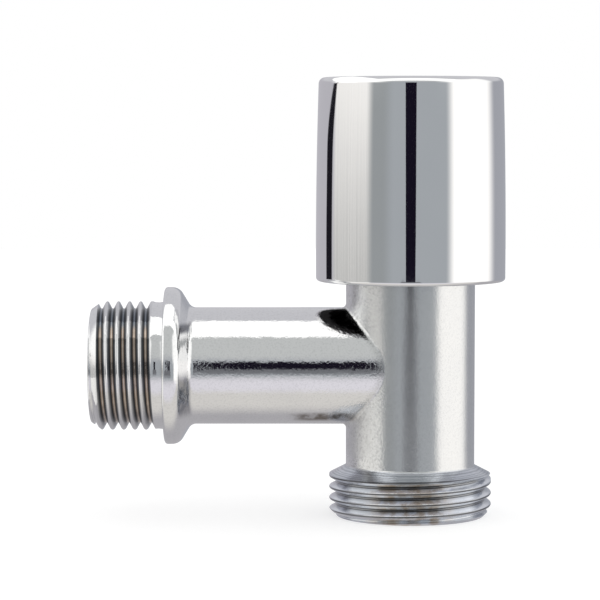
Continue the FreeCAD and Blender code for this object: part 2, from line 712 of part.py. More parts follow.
o_ring("cap_o_ring", CAP_CORE, "cap_ring_section", CAP_RING_RISE)
document.recompute()
write_pieces()
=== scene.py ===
import json
import math
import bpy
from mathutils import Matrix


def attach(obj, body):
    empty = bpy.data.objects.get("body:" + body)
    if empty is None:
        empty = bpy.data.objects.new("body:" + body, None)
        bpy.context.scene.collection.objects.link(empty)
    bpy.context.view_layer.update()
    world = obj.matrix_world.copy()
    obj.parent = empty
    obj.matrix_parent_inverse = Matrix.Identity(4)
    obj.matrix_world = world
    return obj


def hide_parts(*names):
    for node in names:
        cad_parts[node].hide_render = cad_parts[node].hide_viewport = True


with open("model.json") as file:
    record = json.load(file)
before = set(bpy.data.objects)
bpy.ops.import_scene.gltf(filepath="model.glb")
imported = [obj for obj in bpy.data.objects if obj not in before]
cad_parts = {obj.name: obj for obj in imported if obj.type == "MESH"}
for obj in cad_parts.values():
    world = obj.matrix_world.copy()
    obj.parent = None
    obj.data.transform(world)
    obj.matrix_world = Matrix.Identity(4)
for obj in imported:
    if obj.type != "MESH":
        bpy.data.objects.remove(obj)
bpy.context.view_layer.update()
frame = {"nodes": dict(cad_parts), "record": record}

from types import SimpleNamespace

import bmesh
import bpy
from mathutils import Vector

# Lengths are millimetres while a piece is modelled; heights count from the inlet axis
MM = 0.001
STEM_X = 40.0
# Lines that the profiles are turned round
STEM_LINE = {"cent": (STEM_X, 0, 0), "axis": (0, 0, 1)}
BRANCH_LINE = {"cent": (0, 0, 0), "axis": (1, 0, 0)}
# Steps of a full turn round the branch, the upright stem and the knob
BRANCH_STEPS = 256
STEM_STEPS = BRANCH_STEPS // 2
KNOB_STEPS = 192
# Segments of a round in a turned profile, and the close row beside it that keeps straight parts flat
ROUND_STEPS = 7
ROUND_MARGIN = 0.12
# Points closer than this become one, and edges that fold by more than this many degrees stay crisp
WELD = 0.005
CRISP_ANGLE = 32
# Cutting shapes reach this far out of the work, and a face this near to a wall belongs to it
CUT_PAST = 1.0
FACE_PICK = 0.01

# Pipe threads: the same pitch and groove on both ends
PITCH = 1.814
THREAD_STEPS = 128
# Half of the groove's section, from its root outwards: height over the root, half width
GROOVE = [(0.0, 0.06), (0.08, 0.172), (1.027, 0.665), (1.112, 0.75), (1.162, 0.857), (1.5, 0.89)]
GROOVE_DEPTH = 1.162
# Rise of the groove out of the work over its run-out, in groove depths
RUN_OUT_RISE = 1.3

# Wall inlet with its thread, neck and flange: places along the branch, and radii
INLET_END = -12.0
INLET_LEAD_END = -10.25
INLET_LEAD_RADIUS = 9.2275
INLET_LEAD_ROUND = 0.3
INLET_THREAD_RADIUS = 10.4775
INLET_THREAD_END = -1.95
INLET_GROOVE_START = -3.05 - 6 * PITCH
INLET_GROOVE_TURNS = 6.5
NECK = [(-1.6, 10.34), (-1.0, 10.3), (-0.4, 10.36), (0.0, 10.47)]
FLANGE_RADIUS = 12.8
FLANGE_RIM = 2.3
FLANGE_FOOT = 4.3
FLANGE_EDGE_ROUND = 0.5
FLANGE_SHOULDER_ROUND = 1.8
FLANGE_ROOT_ROUND = 1.3

# Branch and upright tube, and the round where they meet
BRANCH_START = 7.5
BRANCH_RADIUS = 9.5
UPRIGHT_RADIUS = 10.5
UPRIGHT_TOP = 18.5
UPRIGHT_FOOT = -15.5
JUNCTION_ROUND = 0.7
# Rows of the sheet along the branch, up the round, and out over the upright's front and back
BRANCH_ROWS = 18
JUNCTION_ROWS = 10
UPRIGHT_ROWS = 26
BACK_ROWS = BRANCH_STEPS // 4
# How strongly the rows crowd towards the junction
BRANCH_CROWDING = 2.0
UPRIGHT_CROWDING = 1.6

# Hose outlet: heights and radii
SHOULDER_TOP = -16.3
SHOULDER_ROUND = 0.5
SHOULDER_FOOT = -17.7
OUTLET_THREAD_RADIUS = 13.2205
OUTLET_GROOVE_TOP = -18.0
OUTLET_GROOVE_START = OUTLET_GROOVE_TOP - 5 * PITCH
OUTLET_GROOVE_TURNS = 4.9
OUTLET_LEAD_TOP = -23.3
OUTLET_LEAD_RADIUS = 12.02
OUTLET_END = -24.5

# Waterway, from the two ends to the seat of the headwork
BRANCH_BORE_RADIUS = 6.25
BRANCH_BORE_END = STEM_X - 2.0
OUTLET_BORE_RADIUS = 8.0
BORE_CHAMFER = 0.5
SEAT_FOOT = -17.0
SEAT_TOP = -14.5
SEAT_HOLE_RADIUS = 4.6
CHAMBER_RADIUS = 7.601
CHAMBER_TOP = 8.6
HEADWORK_BORE_RADIUS = 8.381
HEADWORK_BORE_TOP = 16.0
RING_SEAT_RADIUS = 8.9

# Knob, with its boss, ribs and six sided socket inside
KNOB_RIM = 13.85
KNOB_TOP = 46.85
KNOB_RIM_RADIUS = 15.396
KNOB_TOP_RADIUS = 14.95
KNOB_CROWN = 0.155
KNOB_CROWN_ROWS = 24
KNOB_TOP_ROUND = 1.0
KNOB_RIM_ROUND = 0.6
CAVITY_RADIUS = 13.3
KNOB_CEILING = 43.65
BOSS_FOOT = 30.9
BOSS_RADIUS = 7.951
BOSS_STEP = 37.9
COLUMN_RADIUS = 8.95
SCREW_HOLE_RADIUS = 2.2
RIBS = 6
RIB_SIZE = (5.45, 1.2, 5.4)
RIB_MIDDLE = (STEM_X + 11.2, 0, 41.35)
SOCKET_RADIUS = 6.409
SOCKET_DEPTH = 9.6
SOCKET_MIDDLE = (STEM_X, 0, 34.7)

# Flush cap in the knob's recess
RECESS_RADIUS = 7.35
RECESS_FLOOR = 41.5
CAP_RADIUS = 7.3
CAP_UNDERSIDE = 45.25
CAP_BORE_RADIUS = 5.1
CAP_GROOVE_RADIUS = 6.11
CAP_GROOVE_FLOOR = CAP_UNDERSIDE - 1.4
EDGE_BREAK = 0.3

# Studio floor, just under the valve, and the panels over it
FLOOR_RADIUS = 900
FLOOR_GAP = 0.02
PANEL_HEIGHT = 57

# View of the photograph
VIEW_FROM = (22.0, -410, 39)
VIEW_TO = (22.0, 0, 10.71)
SENSOR_WIDTH = 36
LENS = 151.3


def on_stem(radius, height):
    """A place in the plane through the stem, to be turned round the stem."""
    return Vector((STEM_X + radius, 0, height))


def on_branch(along, radius):
    """A place in the plane through the branch, to be turned round the branch."""
    return Vector((along, 0, radius))


def round_corner(bm, corner, radius):
    """Rounds a corner of a chain of edges, with a close row on both sides where there is room."""
    arms = [edge.other_vert(corner).co - corner.co for edge in corner.link_edges]
    tangent = radius / math.tan(arms[0].angle(arms[1]) / 2)
    for edge in list(corner.link_edges):
        share = (tangent + ROUND_MARGIN) / edge.calc_length()
        if share < 0.9:
            bmesh.utils.edge_split(edge, corner, share)
    bmesh.ops.bevel(
        bm, geom=[corner], offset=tangent, offset_type="OFFSET", segments=ROUND_STEPS,
        profile=0.5, affect="VERTICES", material=-1,
    )


def turn(bm, corners, line, steps, rounds=None, closed=False):
    """Turns a chain of corners once round a line; rounds are radii by the number of a corner."""
    chain = [bm.verts.new(corner) for corner in corners]
    pairs = list(zip(chain, chain[1:]))
    if closed:
        pairs.append((chain[-1], chain[0]))
    for pair in pairs:
        bm.edges.new(pair)
    for index, radius in (rounds or {}).items():
        round_corner(bm, chain[index], radius)
    loose = [vert for vert in bm.verts if not vert.link_faces]
    wires = [edge for edge in bm.edges if edge.is_wire]
    bmesh.ops.spin(bm, geom=loose + wires, angle=math.tau, steps=steps, use_merge=True, **line)


def weld(bm, reach=WELD):
    """Joins what meets and turns every face outwards."""
    bmesh.ops.remove_doubles(bm, verts=bm.verts, dist=reach)
    bmesh.ops.dissolve_degenerate(bm, edges=bm.edges, dist=reach / 4)
    bmesh.ops.recalc_face_normals(bm, faces=bm.faces)


def turned(corners, line, steps, **options):
    """A closed shape from one turned profile."""
    bm = bmesh.new()
    turn(bm, corners, line, steps, **options)
    weld(bm)
    return bm


def new_object(bm, name):
    """An object at the origin from a model in millimetres."""
    bmesh.ops.scale(bm, vec=(MM, MM, MM), verts=bm.verts)
    mesh = bpy.data.meshes.new(name)
    bm.to_mesh(mesh)
    bm.free()
    thing = bpy.data.objects.new(name, mesh)
    bpy.context.scene.collection.objects.link(thing)
    return thing


def shape_with(thing, operation, *tools):
    """Cuts tool shapes out of an object, or adds them to it, for good."""
    for number, tool in enumerate(tools):
        helper = new_object(tool, f"{thing.name}_tool_{number}")
        step = thing.modifiers.new("shape", "BOOLEAN")
        step.operation = operation
        step.solver = "MANIFOLD"
        step.object = helper
        graph = bpy.context.evaluated_depsgraph_get()
        shaped = bpy.data.meshes.new_from_object(thing.evaluated_get(graph))
        thing.modifiers.remove(step)
        old = thing.data
        thing.data = shaped
        shaped.materials.clear()
        shaped.name = thing.name
        bpy.data.meshes.remove(old)
        bpy.data.meshes.remove(helper.data)


def crisp_edges(thing):
    """Joins what the cuts left too close, and shades an object smooth but for its real edges."""
    bm = bmesh.new()
    bm.from_mesh(thing.data)
    weld(bm, WELD * MM)
    for face in bm.faces:
        face.smooth = True
    for edge in bm.edges:
        edge.smooth = edge.calc_face_angle(0) < math.radians(CRISP_ANGLE)
    bm.to_mesh(thing.data)
    bm.free()


def tee_centre(angle):
    """Centre of a ball that touches branch and upright at once, at an angle round the branch."""
    reach = BRANCH_RADIUS + JUNCTION_ROUND
    out = UPRIGHT_RADIUS + JUNCTION_ROUND
    across = reach * math.sin(angle)
    return Vector((STEM_X - math.sqrt(out ** 2 - across ** 2), across, reach * math.cos(angle)))


def sheet_edge(share):
    """Where the sheet round the junction ends on the front half of the upright: turn and height."""
    side, along = divmod(share * 4 + 0.5, 1)
    side %= 4
    sweep = math.pi * (along - 0.5)
    height = UPRIGHT_FOOT + (UPRIGHT_TOP - UPRIGHT_FOOT) * along
    if side == 0:
        return sweep, UPRIGHT_TOP
    if side == 1:
        return math.pi / 2, UPRIGHT_TOP + UPRIGHT_FOOT - height
    if side == 2:
        return -sweep, UPRIGHT_FOOT
    return -math.pi / 2, height


def upright_place(sweep, height):
    """A place on the upright's wall, by its turn from the branch side."""
    return Vector((STEM_X - UPRIGHT_RADIUS * math.cos(sweep), UPRIGHT_RADIUS * math.sin(sweep), height))


def tee_place(share, row):
    """A place on the tee: share goes once round the branch, row runs along it, up the round and outwards."""
    angle = math.tau * share
    centre = tee_centre(angle)
    down = Vector((0, -math.sin(angle), -math.cos(angle)))
    inward = Vector((STEM_X - centre.x, -centre.y, 0)).normalized()
    if row <= BRANCH_ROWS:
        left = (1 - row / BRANCH_ROWS) ** BRANCH_CROWDING
        foot = centre + down * JUNCTION_ROUND
        return Vector((foot.x + (BRANCH_START - foot.x) * left, foot.y, foot.z))
    row -= BRANCH_ROWS
    if row <= JUNCTION_ROWS:
        fold = down.angle(inward)
        part = fold * row / JUNCTION_ROWS
        mix = down * math.sin(fold - part) + inward * math.sin(part)
        return centre + mix * (JUNCTION_ROUND / math.sin(fold))
    out = ((row - JUNCTION_ROWS) / UPRIGHT_ROWS) ** UPRIGHT_CROWDING
    start = math.asin(centre.y / (UPRIGHT_RADIUS + JUNCTION_ROUND))
    sweep, height = sheet_edge(share)
    return upright_place(start + (sweep - start) * out, centre.z + (height - centre.z) * out)


def back_place(share, row):
    """A place on the back half of the upright: share goes round it, row runs up."""
    height = UPRIGHT_FOOT + (UPRIGHT_TOP - UPRIGHT_FOOT) * row / BACK_ROWS
    return upright_place(math.pi * (0.5 + share), height)


def mapped_grid(bm, columns, rows, place):
    """A grid whose corners are put in place by their share of the width and their row."""
    verts = bmesh.ops.create_grid(bm, x_segments=columns, y_segments=rows, size=1)["verts"]
    for vert in verts:
        share = round((vert.co.x + 1) / 2 * columns) / columns
        row = round((vert.co.y + 1) / 2 * rows)
        vert.co = place(share, row)


def thread_groove(place, line, start, turns, root):
    """The helical groove of a right-hand pipe thread, which leaves the work at its far end."""
    axis = Vector(line["axis"])
    bm = bmesh.new()
    low = [place(start - half, root + rise) for rise, half in GROOVE]
    high = [place(start + half, root + rise) for rise, half in reversed(GROOVE)]
    ring = [bm.verts.new(corner) for corner in low + high]
    loop = [bm.edges.new(pair) for pair in zip(ring, ring[1:] + ring[:1])]
    lead = axis * (PITCH / THREAD_STEPS)
    steps = round(turns * THREAD_STEPS)
    angle = math.tau / THREAD_STEPS
    swept = bmesh.ops.spin(bm, geom=ring + loop, dvec=lead, angle=angle * steps, steps=steps, **line)
    section = swept["geom_last"]
    run_out = THREAD_STEPS // 4
    step_out = RUN_OUT_RISE * GROOVE_DEPTH / run_out
    for _ in range(run_out):
        section = bmesh.ops.spin(bm, geom=section, dvec=lead, angle=angle, steps=1, **line)["geom_last"]
        corners = [part for part in section if isinstance(part, bmesh.types.BMVert)]
        middle = sum((corner.co for corner in corners), Vector()) / len(corners) - Vector(line["cent"])
        outward = middle - axis * middle.dot(axis)
        bmesh.ops.translate(bm, verts=corners, vec=outward.normalized() * step_out)
    bmesh.ops.holes_fill(bm, edges=[edge for edge in bm.edges if edge.is_boundary], sides=0)
    weld(bm)
    return bm


def tee_skin():
    """The outside of the tee in one skin: inlet and flange, junction, upright and outlet."""
    bm = bmesh.new()
    inlet_rounds = {
        1: INLET_LEAD_ROUND,
        8: FLANGE_EDGE_ROUND,
        9: FLANGE_SHOULDER_ROUND,
        10: FLANGE_ROOT_ROUND,
    }
    turn(bm, [
        on_branch(INLET_END, 0),
        on_branch(INLET_END, INLET_LEAD_RADIUS),
        on_branch(INLET_LEAD_END, INLET_THREAD_RADIUS),
        on_branch(INLET_THREAD_END, INLET_THREAD_RADIUS),
        *(on_branch(along, radius) for along, radius in NECK),
        on_branch(0, FLANGE_RADIUS),
        on_branch(FLANGE_RIM, FLANGE_RADIUS),
        on_branch(FLANGE_FOOT, BRANCH_RADIUS),
        on_branch(BRANCH_START, BRANCH_RADIUS),
    ], BRANCH_LINE, BRANCH_STEPS, rounds=inlet_rounds)
    mapped_grid(bm, BRANCH_STEPS, BRANCH_ROWS + JUNCTION_ROWS + UPRIGHT_ROWS, tee_place)
    mapped_grid(bm, BACK_ROWS, BACK_ROWS, back_place)
    turn(bm, [on_stem(UPRIGHT_RADIUS, UPRIGHT_TOP), on_stem(0, UPRIGHT_TOP)], STEM_LINE, STEM_STEPS)
    turn(bm, [
        on_stem(UPRIGHT_RADIUS, UPRIGHT_FOOT),
        on_stem(UPRIGHT_RADIUS, SHOULDER_TOP),
        on_stem(OUTLET_THREAD_RADIUS, SHOULDER_FOOT),
        on_stem(OUTLET_THREAD_RADIUS, OUTLET_LEAD_TOP),
        on_stem(OUTLET_LEAD_RADIUS, OUTLET_END),
        on_stem(0, OUTLET_END),
    ], STEM_LINE, STEM_STEPS, rounds={1: SHOULDER_ROUND})
    weld(bm)
    return bm


def upright_bore():
    """The outlet's bore, the seat hole, the valve chamber and the headwork's bore."""
    return turned([
        on_stem(0, OUTLET_END - CUT_PAST),
        on_stem(OUTLET_BORE_RADIUS + BORE_CHAMFER + CUT_PAST, OUTLET_END - CUT_PAST),
        on_stem(OUTLET_BORE_RADIUS, OUTLET_END + BORE_CHAMFER),
        on_stem(OUTLET_BORE_RADIUS, SEAT_FOOT),
        on_stem(SEAT_HOLE_RADIUS, SEAT_FOOT),
        on_stem(SEAT_HOLE_RADIUS, SEAT_TOP),
        on_stem(CHAMBER_RADIUS, SEAT_TOP),
        on_stem(CHAMBER_RADIUS, CHAMBER_TOP),
        on_stem(HEADWORK_BORE_RADIUS, CHAMBER_TOP),
        on_stem(HEADWORK_BORE_RADIUS, HEADWORK_BORE_TOP),
        on_stem(RING_SEAT_RADIUS, HEADWORK_BORE_TOP),
        on_stem(RING_SEAT_RADIUS, UPRIGHT_TOP + CUT_PAST),
        on_stem(0, UPRIGHT_TOP + CUT_PAST),
    ], STEM_LINE, STEM_STEPS)


def branch_bore():
    """The bore from the wall inlet to the valve chamber."""
    return turned([
        on_branch(INLET_END - CUT_PAST, 0),
        on_branch(INLET_END - CUT_PAST, BRANCH_BORE_RADIUS + BORE_CHAMFER + CUT_PAST),
        on_branch(INLET_END + BORE_CHAMFER, BRANCH_BORE_RADIUS),
        on_branch(BRANCH_BORE_END, BRANCH_BORE_RADIUS),
        on_branch(BRANCH_BORE_END, 0),
    ], BRANCH_LINE, STEM_STEPS)


def make_body():
    """The plated tee with its flange, both pipe threads and the waterway."""
    body = new_object(tee_skin(), "plated_tee")
    inlet_groove = thread_groove(
        on_branch, BRANCH_LINE, INLET_GROOVE_START, INLET_GROOVE_TURNS,
        INLET_THREAD_RADIUS - GROOVE_DEPTH,
    )
    outlet_groove = thread_groove(
        lambda height, radius: on_stem(radius, height), STEM_LINE, OUTLET_GROOVE_START,
        OUTLET_GROOVE_TURNS, OUTLET_THREAD_RADIUS - GROOVE_DEPTH,
    )
    shape_with(body, "DIFFERENCE", inlet_groove, outlet_groove, upright_bore(), branch_bore())
    crisp_edges(body)
    return body


def crown_place(part):
    """A place on the knob's crowned side, by its share of the height."""
    straight = KNOB_RIM_RADIUS + (KNOB_TOP_RADIUS - KNOB_RIM_RADIUS) * part
    bulge = KNOB_CROWN * 4 * part * (1 - part)
    return on_stem(straight + bulge, KNOB_RIM + (KNOB_TOP - KNOB_RIM) * part)


def make_knob():
    """The hollow knob with its crowned side, ribbed boss and six sided socket."""
    shell = turned([
        *(crown_place(row / KNOB_CROWN_ROWS) for row in range(KNOB_CROWN_ROWS + 1)),
        on_stem(RECESS_RADIUS + EDGE_BREAK, KNOB_TOP),
        on_stem(RECESS_RADIUS, KNOB_TOP - EDGE_BREAK),
        on_stem(RECESS_RADIUS, RECESS_FLOOR),
        on_stem(SCREW_HOLE_RADIUS, RECESS_FLOOR),
        on_stem(SCREW_HOLE_RADIUS, BOSS_FOOT),
        on_stem(BOSS_RADIUS, BOSS_FOOT),
        on_stem(BOSS_RADIUS, BOSS_STEP),
        on_stem(COLUMN_RADIUS, BOSS_STEP),
        on_stem(COLUMN_RADIUS, KNOB_CEILING),
        on_stem(CAVITY_RADIUS, KNOB_CEILING),
        on_stem(CAVITY_RADIUS, KNOB_RIM),
    ], STEM_LINE, KNOB_STEPS, rounds={0: KNOB_RIM_ROUND, KNOB_CROWN_ROWS: KNOB_TOP_ROUND}, closed=True)
    knob = new_object(shell, "round_knob")
    ribs = bmesh.new()
    rib = bmesh.ops.create_cube(ribs, size=1)["verts"]
    bmesh.ops.scale(ribs, vec=RIB_SIZE, verts=rib)
    bmesh.ops.translate(ribs, vec=RIB_MIDDLE, verts=rib)
    sweep = math.tau * (RIBS - 1) / RIBS
    bmesh.ops.spin(ribs, geom=ribs.faces[:], angle=sweep, steps=RIBS - 1, use_duplicate=True, **STEM_LINE)
    socket = bmesh.new()
    bmesh.ops.create_cone(
        socket, cap_ends=True, segments=6, radius1=SOCKET_RADIUS, radius2=SOCKET_RADIUS, depth=SOCKET_DEPTH,
    )
    bmesh.ops.translate(socket, vec=SOCKET_MIDDLE, verts=socket.verts)
    shape_with(knob, "UNION", ribs)
    shape_with(knob, "DIFFERENCE", socket)
    crisp_edges(knob)
    return knob


def make_cap():
    """The flush cap over the knob's screw, with the groove of its rubber ring."""
    shell = turned([
        on_stem(0, KNOB_TOP),
        on_stem(CAP_RADIUS - EDGE_BREAK, KNOB_TOP),
        on_stem(CAP_RADIUS, KNOB_TOP - EDGE_BREAK),
        on_stem(CAP_RADIUS, CAP_UNDERSIDE),
        on_stem(CAP_GROOVE_RADIUS, CAP_UNDERSIDE),
        on_stem(CAP_GROOVE_RADIUS, CAP_GROOVE_FLOOR),
        on_stem(CAP_RADIUS, CAP_GROOVE_FLOOR),
        on_stem(CAP_RADIUS, RECESS_FLOOR),
        on_stem(CAP_BORE_RADIUS, RECESS_FLOOR),
        on_stem(CAP_BORE_RADIUS, CAP_UNDERSIDE),
        on_stem(0, CAP_UNDERSIDE),
    ], STEM_LINE, KNOB_STEPS)
    cap = new_object(shell, "screw_cap")
    crisp_edges(cap)
    return cap


class Value:
    """A node's output that takes part in arithmetic; each operation adds a Math node."""

    def __init__(self, graph, socket):
        self.graph = graph
        self.socket = socket

    def math(self, operation, *values):
        """Adds a Math node of one kind; without values it works on this output alone."""
        return self.graph.node("ShaderNodeMath", {"operation": operation}, dict(enumerate(values or [self])))

    def __add__(self, other):
        return self.math("ADD", self, other)

    def __sub__(self, other):
        return self.math("SUBTRACT", self, other)

    def __rsub__(self, other):
        return self.math("SUBTRACT", other, self)

    def __mul__(self, other):
        return self.math("MULTIPLY", self, other)

    def __truediv__(self, other):
        return self.math("DIVIDE", self, other)

    def __pow__(self, other):
        return self.math("POWER", self, other)

    def __neg__(self):
        return self.math("MULTIPLY", self, -1)

    __radd__ = __add__
    __rmul__ = __mul__


class Graph:
    """A node tree that is built up from an empty one."""

    def __init__(self, owner):
        owner.use_nodes = True
        self.tree = owner.node_tree
        self.tree.nodes.clear()

    def node(self, kind, settings=None, inputs=None, output=0):
        """Adds a node, sets it up, fills or links its sockets and gives an output, if it has any."""
        node = self.tree.nodes.new(kind)
        for name, setting in (settings or {}).items():
            setattr(node, name, setting)
        for key, value in (inputs or {}).items():
            if isinstance(value, Value):
                self.tree.links.new(value.socket, node.inputs[key])
            else:
                node.inputs[key].default_value = value
        return Value(self, node.outputs[output]) if node.outputs else None

    def split(self, vector):
        """The three parts of a vector."""
        return [self.node("ShaderNodeSeparateXYZ", inputs={0: vector}, output=axis) for axis in range(3)]

    def ramp(self, value, low, high):
        """Rises smoothly from 0 at low to 1 at high."""
        settings = {"interpolation_type": "SMOOTHSTEP"}
        return self.node("ShaderNodeMapRange", settings, {"Value": value, "From Min": low, "From Max": high})

    def band(self, value, low, high, soft):
        """1 between two values, with soft edges."""
        rise = self.ramp(value, low - soft / 2, low + soft / 2)
        fall = self.ramp(value, high + soft / 2, high - soft / 2)
        return rise * fall

    def blend(self, share, first, second):
        """Mixes two colours."""
        settings = {"data_type": "RGBA"}
        return self.node("ShaderNodeMix", settings, {0: share, 6: first, 7: second}, output=2)

    def layers(self, base, coats):
        """Lays colours over each other, each by its share."""
        for share, tint in coats:
            base = self.blend(share, base, tint)
        return base

    def fades(self, value, base, steps):
        """Goes from colour to colour as a value rises, each step between two values."""
        return self.layers(base, [(self.ramp(value, low, high), tint) for low, high, tint in steps])

    def noise(self, place, scale, detail=2.0, roughness=0.5):
        """Cloudy noise between 0 and 1, by the number of its cells in a millimetre."""
        inputs = {"Vector": place, "Scale": scale, "Detail": detail, "Roughness": roughness}
        return self.node("ShaderNodeTexNoise", {"noise_dimensions": "3D"}, inputs)

    def streaks(self, value, detail=2.0):
        """Noise between 0 and 1 that changes with one value only."""
        inputs = {"W": value, "Scale": 1.0, "Detail": detail}
        return self.node("ShaderNodeTexNoise", {"noise_dimensions": "1D"}, inputs)

    def glow(self, tint):
        """A surface that shines in one colour."""
        return self.node("ShaderNodeEmission", inputs={"Color": tint, "Strength": 1.0})


def colour(red, green, blue):
    """An opaque colour."""
    return (red, green, blue, 1.0)


class Finish(Graph):
    """A surface finish whose pattern is in millimetres on the piece."""

    def __init__(self, name):
        self.material = bpy.data.materials.new(name)
        super().__init__(self.material)
        place = self.node("ShaderNodeTexCoord", output="Object")
        inputs = {0: place, "Scale": 1 / MM}
        self.place = self.node("ShaderNodeVectorMath", {"operation": "SCALE"}, inputs)
        self.x, self.y, self.z = self.split(self.place)

    def distance(self, first, second):
        """Length of a pair of coordinates."""
        square = first * first + second * second
        return square ** 0.5

    def end(self, shader):
        """Ends in a shader and gives the material."""
        self.node("ShaderNodeOutputMaterial", inputs={"Surface": shader})
        return self.material

    def close(self, base, roughness, metallic, height, bump, **constants):
        """Ends in a surface shader; height is raised by bump millimetres."""
        normal = self.node("ShaderNodeBump", inputs={"Height": height, "Distance": bump * MM})
        inputs = {"Base Color": base, "Roughness": roughness, "Metallic": metallic, "Normal": normal}
        return self.end(self.node("ShaderNodeBsdfPrincipled", inputs={**inputs, **constants}))


def body_noises(finish):
    """The uneven patterns of the body's skin, from broad clouds down to fine grain."""
    blotch = finish.noise(finish.place, 0.55, 3.0)
    return SimpleNamespace(
        cloud=finish.noise(finish.place, 0.16),
        blotch=blotch,
        patch=finish.ramp(blotch, 0.36, 0.62),
        grain=finish.noise(finish.place, 1.5, 3.0, 0.6),
        crust=finish.ramp(finish.noise(finish.place, 2.2, 4.0, 0.6), 0.45, 0.75),
        fine=finish.noise(finish.place, 3.4),
    )


def thread_masks(finish, across_branch, across_stem):
    """Where the two threads are, with their flanks, roots and crest lines, by places and radii; the flank,
    root and crest masks carry painted shade and reflections.
    """
    inlet_run = finish.ramp(finish.x, INLET_THREAD_END + 0.15, INLET_THREAD_END - 0.15)
    inlet = inlet_run * finish.ramp(finish.x, INLET_LEAD_END - 0.5, INLET_LEAD_END - 0.15)
    outlet = finish.ramp(finish.z, SHOULDER_TOP + 0.3, SHOULDER_TOP - 0.2)
    thread = finish.ramp(finish.z, SHOULDER_FOOT - 0.05, SHOULDER_FOOT - 0.25)
    tilt = finish.split(finish.node("ShaderNodeTexCoord", output="Normal"))[2]
    # Upward-facing flanks deep in the outlet thread, picked by the normal, which get painted shade
    outlet_flank_shade = thread * finish.ramp(tilt, -0.2, 0.3) * finish.ramp(across_stem, 13.0, 12.2)
    above_lead = finish.ramp(finish.z, OUTLET_LEAD_TOP - 0.3, OUTLET_LEAD_TOP + 0.3)
    turns = finish.y.math("ARCTAN2", finish.y, finish.x - STEM_X) / math.tau
    lead = (finish.z - OUTLET_GROOVE_TOP) / PITCH - turns
    # A thin band along the outlet thread's crests, where a dark reflection is painted
    crest = finish.band(lead.math("FRACT"), 0.42, 0.57, 0.06) * finish.ramp(across_stem, 12.5, 12.8)
    return SimpleNamespace(
        inlet=inlet,
        # Flanks of the inlet thread, where painted shade and dirt darken the grooves
        inlet_flank_shade_and_dirt=inlet * finish.ramp(across_branch, 10.50, 9.6),
        inlet_root=inlet * finish.ramp(across_branch, 9.50, 9.39),
        outlet=outlet,
        thread=thread,
        outlet_flank_shade=outlet_flank_shade,
        outlet_root_shade=thread * finish.ramp(across_stem, 12.28, 12.13) * above_lead,
        outlet_crest_reflection=crest * finish.ramp(finish.z, SHOULDER_FOOT + 0.5, SHOULDER_FOOT + 0.3),
        outlet_front=finish.band(finish.x, 34.0, 45.0, 6.0) * finish.ramp(finish.y, 0.0, -8.0),
    )


def skin_masks(finish, across_branch, across_stem):
    """Where upright and flange are, and the rough, stained and darker spots beside them, by places and
    radii.
    """
    upright = finish.ramp(across_stem, 11.4, 10.6)
    crease = finish.band(finish.z, -7.2, -0.5, 2.0) + finish.band(finish.z, 6.0, 7.4, 0.8)
    tee_side = finish.ramp(finish.x, 23.0, 29.0) * finish.ramp(finish.x, 35.0, 31.0)
    beside_tee = finish.ramp(across_stem, 13.0, 11.0) * finish.ramp(across_branch, 13.5, 10.5)
    return SimpleNamespace(
        upright=upright,
        flange=finish.ramp(finish.x, 4.2, 3.0),
        near_flange=finish.band(finish.x, 4.0, 7.0, 3.0),
        crease=crease * finish.band(finish.x, 2.6, 4.4, 0.6),
        near_tee=upright * finish.ramp(finish.x, 38.5, 32.5),
        tee_foot=tee_side * finish.band(finish.z, -14.5, -5.0, 3.0),
        tee_top=tee_side * finish.ramp(finish.z, 3.0, 7.0),
        beside_tee=beside_tee * finish.ramp(finish.x, 38.0, 34.5),
        stain=finish.band(finish.z, -8.5, -7.2, 0.8) * finish.band(finish.x, 21.5, 30.5, 4.0),
    )


